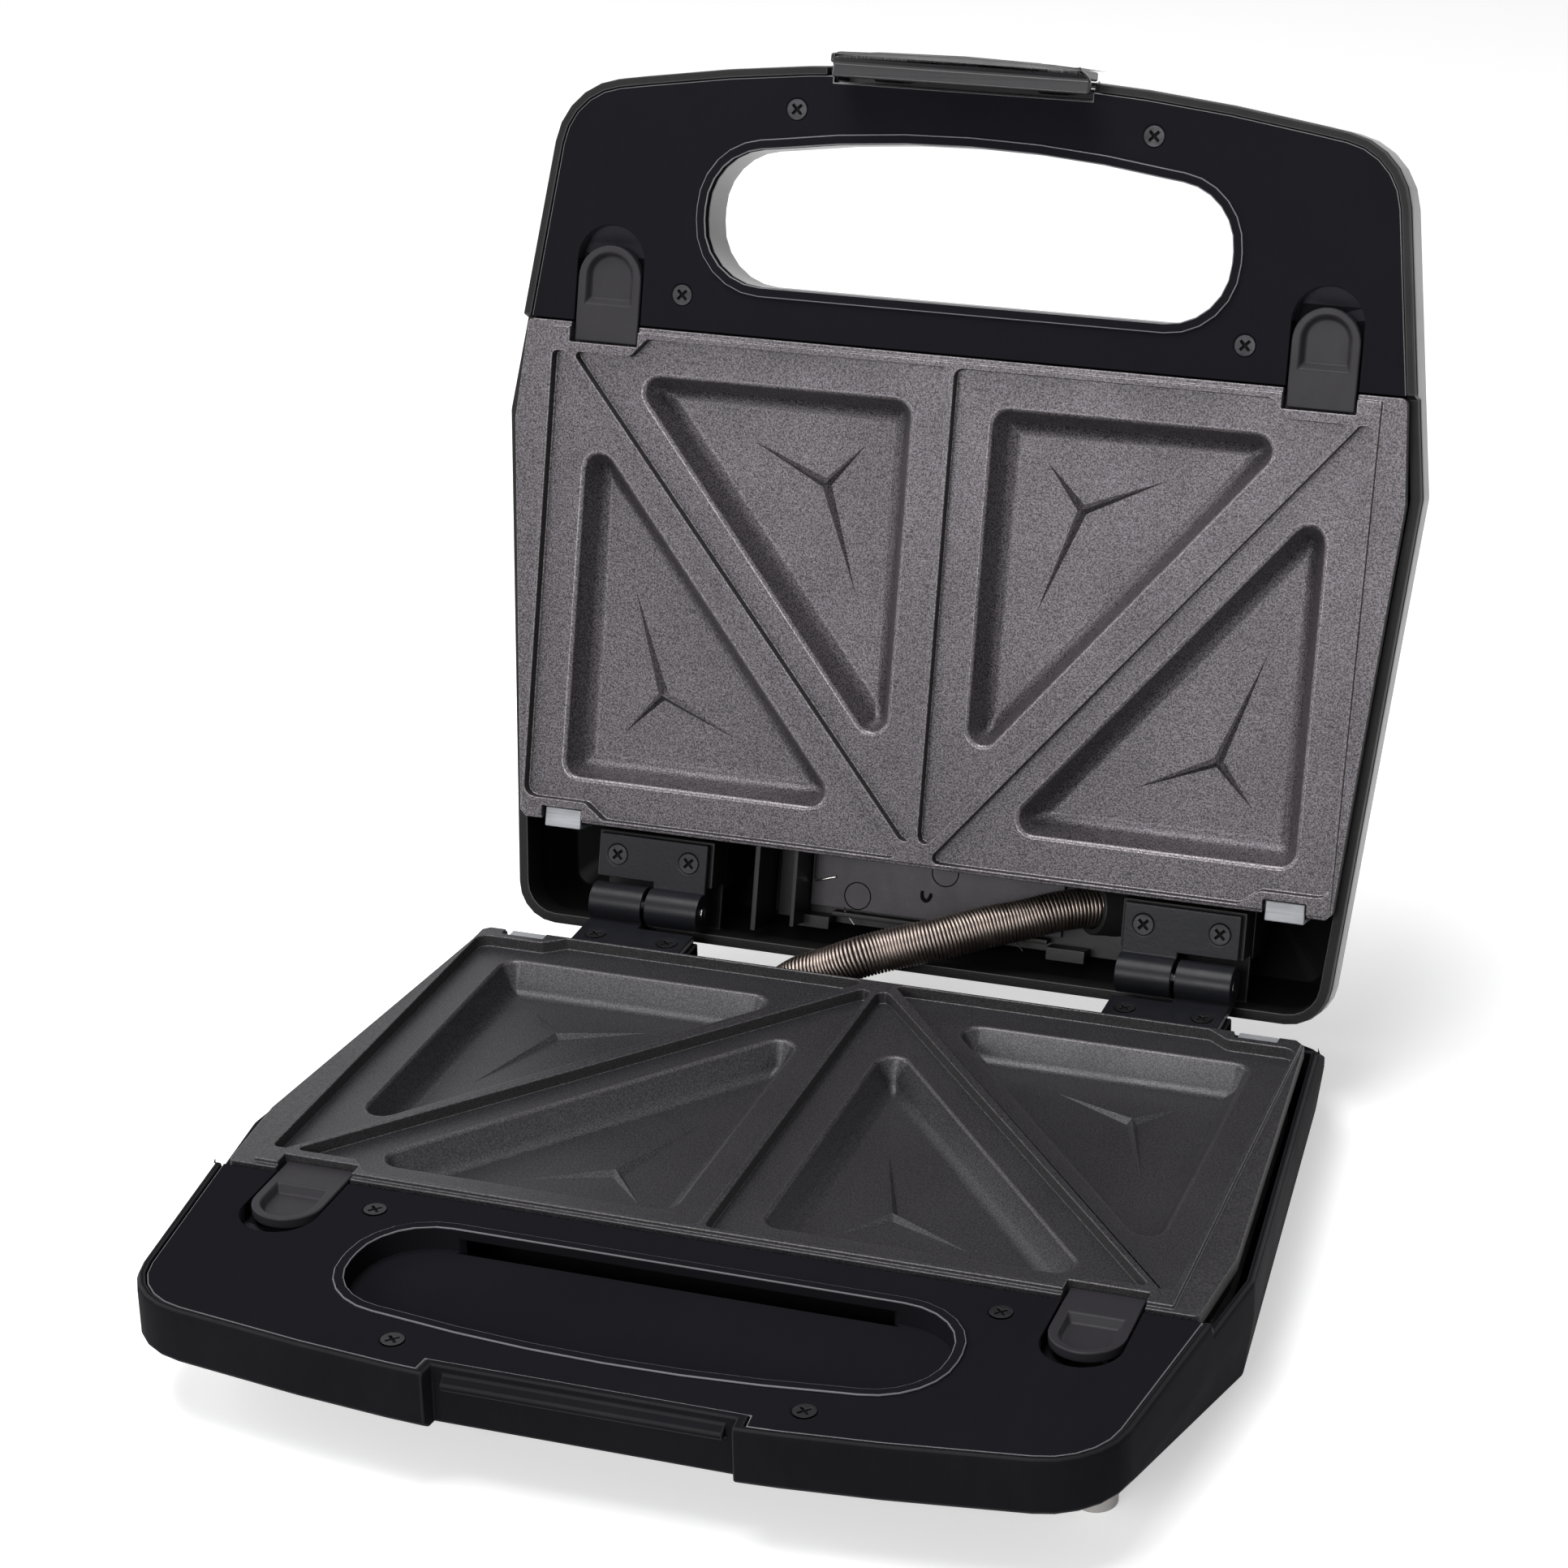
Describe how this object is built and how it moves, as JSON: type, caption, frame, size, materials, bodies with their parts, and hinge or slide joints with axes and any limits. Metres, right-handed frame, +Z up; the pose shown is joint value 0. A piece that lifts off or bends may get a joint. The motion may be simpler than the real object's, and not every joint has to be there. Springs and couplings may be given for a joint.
{
  "type": "sandwich toaster",
  "caption": "Electric sandwich toaster standing open: hinged lid and base with triangular non-stick pockets, sliding plate release buttons, a swinging latch and a through grip.",
  "frame": {"origin": "on the table under the middle of the base", "axes": "+X to the right seen from the front, +Y from the handle to the hinge, +Z up"},
  "size_m": [0.2486, 0.299, 0.2553],
  "materials": {
    "black_shell": "satin black moulding",
    "handle_panel": "smooth satin black",
    "lower_nonstick": "dark grey non-stick coating",
    "upper_nonstick": "warm grey non-stick coating",
    "galvanised": "galvanised sheet",
    "element_steel": "dull tube",
    "thermostat_steel": "plain",
    "hinge_black": "satin black",
    "pin_steel": "plain",
    "screw_steel": "blackened",
    "foot_rubber": "matte pale",
    "bush_plastic": "matte",
    "conduit_steel": "close-wound bright wire",
    "spring_steel": "bright wire",
    "button_plastic": "satin dark grey",
    "silver_shell": "satin silver",
    "rim_plastic": "fine grain, dark grey",
    "board_plastic": "matte dark grey",
    "red_lens": "clear red",
    "green_lens": "clear green",
    "latch_plastic": "satin dark grey"
  },
  "bodies": {
    "base": {"base_housing": "black_shell", "base_panel": "handle_panel", "lower_plate": "lower_nonstick", "lower_tray": "galvanised", "lower_element": "element_steel", "lower_thermostat": "thermostat_steel", "lower_leaf_left": "hinge_black", "lower_leaf_right": "hinge_black", "hinge_pins": "pin_steel", "lower_leaf_screws": "screw_steel", "base_panel_screws": "screw_steel", "feet": "foot_rubber", "cord_inlet": "bush_plastic", "base_conduit_collar": "bush_plastic", "conduit": "conduit_steel", "base_spring_left": "spring_steel", "base_spring_right": "spring_steel"},
    "lid": {"lid_cover": "silver_shell", "lid_frame": "rim_plastic", "lid_panel": "handle_panel", "upper_plate": "upper_nonstick", "upper_tray": "galvanised", "upper_element": "element_steel", "upper_thermostat": "thermostat_steel", "upper_leaf_left": "hinge_black", "upper_leaf_right": "hinge_black", "upper_leaf_screws": "screw_steel", "lid_panel_screws": "screw_steel", "wiring_board": "board_plastic", "lid_conduit_collar": "bush_plastic", "power_lens": "red_lens", "ready_lens": "green_lens", "latch_pin": "pin_steel", "lid_spring_left": "spring_steel", "lid_spring_right": "spring_steel"},
    "latch": {"latch": "latch_plastic"},
    "base_button_left": {"base_button_left": "button_plastic"},
    "base_button_right": {"base_button_right": "button_plastic"},
    "lid_button_left": {"lid_button_left": "button_plastic"},
    "lid_button_right": {"lid_button_right": "button_plastic"}
  },
  "joints": [
    {"name": "lid_hinge", "type": "hinge", "parent": "base", "child": "lid", "pos_m": [0, 0.1081, 0.0333], "axis": [1, 0, 0], "range_deg": [0, 106], "deforming": ["conduit"]},
    {"name": "latch_pivot", "type": "hinge", "parent": "lid", "child": "latch", "pos_m": [-0.0032, 0.17595, 0.24562], "axis": [-1, 0, 0], "range_deg": [0, 12]},
    {"name": "base_release_left", "type": "slide", "parent": "base", "child": "base_button_left", "axis": [0, -1, 0], "range_m": [0, 0.0035], "stiffness_N_per_m": 500, "springref_m": -0.003, "deforming": ["base_spring_left"]},
    {"name": "base_release_right", "type": "slide", "parent": "base", "child": "base_button_right", "axis": [0, -1, 0], "range_m": [0, 0.0035], "stiffness_N_per_m": 500, "springref_m": -0.003, "deforming": ["base_spring_right"]},
    {"name": "lid_release_left", "type": "slide", "parent": "lid", "child": "lid_button_left", "axis": [0, 0.2756, 0.9613], "range_m": [0, 0.0035], "stiffness_N_per_m": 500, "springref_m": -0.003, "deforming": ["lid_spring_left"]},
    {"name": "lid_release_right", "type": "slide", "parent": "lid", "child": "lid_button_right", "axis": [0, 0.2756, 0.9613], "range_m": [0, 0.0035], "stiffness_N_per_m": 500, "springref_m": -0.003, "deforming": ["lid_spring_right"]}
  ]
}
